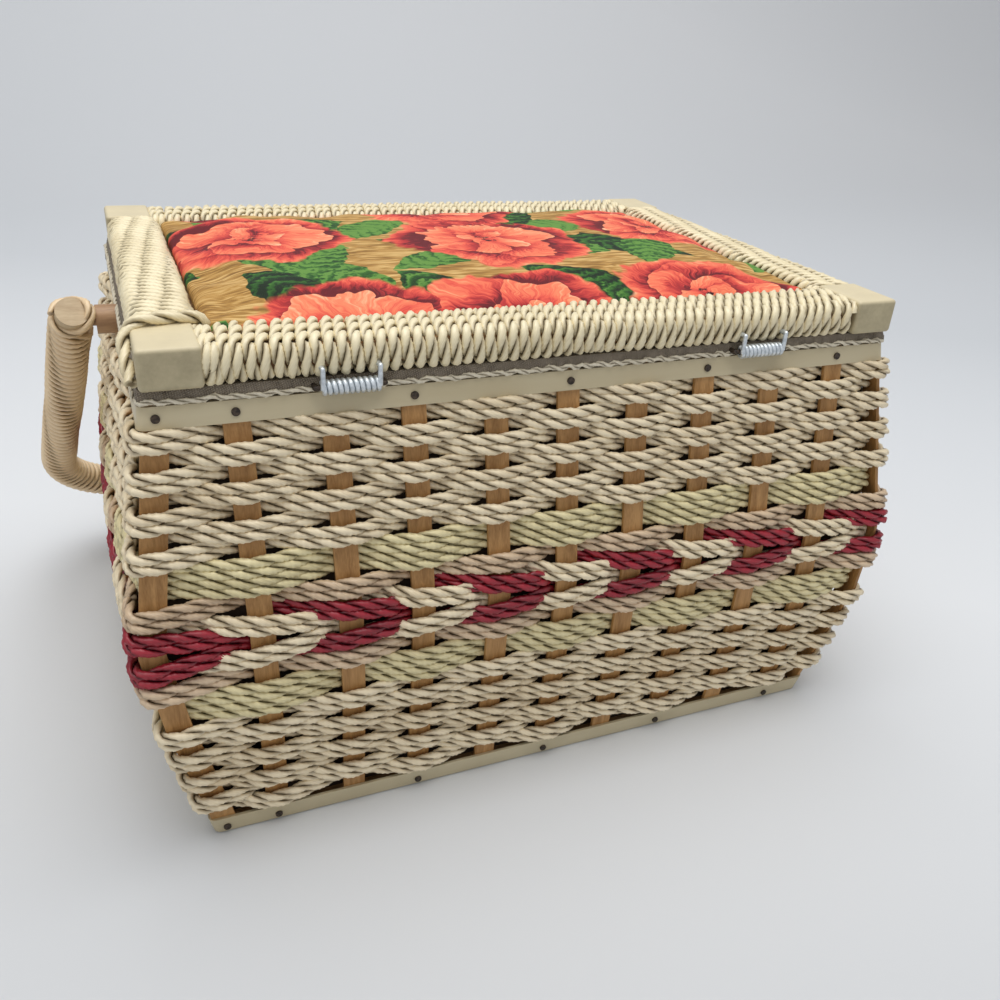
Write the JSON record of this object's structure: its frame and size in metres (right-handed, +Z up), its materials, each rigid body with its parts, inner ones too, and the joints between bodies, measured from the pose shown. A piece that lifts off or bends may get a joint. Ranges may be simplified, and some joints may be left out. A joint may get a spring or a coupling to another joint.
{
  "type": "woven sewing basket",
  "caption": "Rectangular two-tier woven sewing basket with a padded cloth lid on coil hinges, a swinging cord-wrapped handle, a wire latch loop and a sliding inner tray.",
  "frame": {"origin": "middle of the base board's underside, where the basket stands on a surface", "axes": "+X along the long side, +Y towards the hinge side, +Z up"},
  "size_m": [0.3932, 0.2706, 0.2005],
  "materials": {
    "stake_wood": "brown-gold split cane, worn",
    "cord_cream": "twisted paper cord, matt",
    "cord_green": "twisted paper cord, matt, greenish cream",
    "cord_tan": "twisted paper cord, matt, pink-brown",
    "cord_red": "twisted paper cord, matt, red",
    "board": "plain board, unpainted",
    "band": "flat beige strip, satin",
    "lining_cloth": "coarse grey-beige cloth",
    "nail_steel": "dark oxidised",
    "painted_block": "beige paint, satin",
    "lid_cord": "twisted paper cord, matt",
    "padding": "soft wadding",
    "printed_fabric": null,
    "wire_steel": "light grey wire",
    "handle_wood": "bare dowel, worn",
    "handle_cord": "twisted paper cord, warm tan"
  },
  "bodies": {
    "basket": {"stakes_back": "stake_wood", "stakes_right": "stake_wood", "stakes_front": "stake_wood", "stakes_left": "stake_wood", "weave_lower": "cord_cream", "weave_green_lower": "cord_green", "weave_tan_lower": "cord_tan", "arrow_red_lower": "cord_red", "arrow_red_upper": "cord_red", "arrow_cream_lower": "cord_cream", "arrow_cream_upper": "cord_cream", "weave_tan_upper": "cord_tan", "weave_green_upper": "cord_green", "weave_upper": "cord_cream", "base_board": "board", "base_band": "band", "base_nails": "nail_steel", "liner_lower": "board", "liner_upper": "board", "lining_lower": "lining_cloth", "lining_upper": "lining_cloth", "rim_rail_back": "board", "rim_rail_right": "board", "rim_rail_front": "board", "rim_rail_left": "board", "rim_band": "band", "rim_lining": "lining_cloth", "rim_nails": "nail_steel", "hinge_pins": "wire_steel", "handle_pegs": "handle_wood", "latch_knob": "handle_wood", "tray_ledges": "board"},
    "lid": {"lid_corner_blocks": "painted_block", "lid_rail_back": "board", "lid_rail_front": "board", "lid_rail_left": "board", "lid_rail_right": "board", "lid_wrap_back": "lid_cord", "lid_wrap_front": "lid_cord", "lid_wrap_left": "lid_cord", "lid_wrap_right": "lid_cord", "lid_panel": "board", "lid_pad": "padding", "lid_cover": "printed_fabric", "lid_lining": "lining_cloth", "hinge_coils": "wire_steel", "latch_hanger": "wire_steel"},
    "handle": {"handle_core": "handle_wood", "handle_wrap": "handle_cord"},
    "latch": {"latch_loop": "wire_steel"},
    "tray": {"tray_floor": "board", "tray_sides": "board", "tray_dividers": "board"}
  },
  "joints": [
    {"name": "lid_hinge", "type": "hinge", "parent": "basket", "child": "lid", "pos_m": [0, 0.11, 0.182], "axis": [-1, 0, 0], "range_deg": [0, 165]},
    {"name": "handle_swing", "type": "hinge", "parent": "basket", "child": "handle", "pos_m": [0, 0, 0.17575], "axis": [-1, 0, 0], "range_deg": [0, 272.4]},
    {"name": "latch_loop_swing", "type": "hinge", "parent": "lid", "child": "latch", "pos_m": [0, -0.1123, 0.19], "axis": [-1, 0, 0], "range_deg": [0, 100]},
    {"name": "tray_slide", "type": "slide", "parent": "basket", "child": "tray", "axis": [0, -1, 0], "range_m": [0, 0.105]}
  ]
}
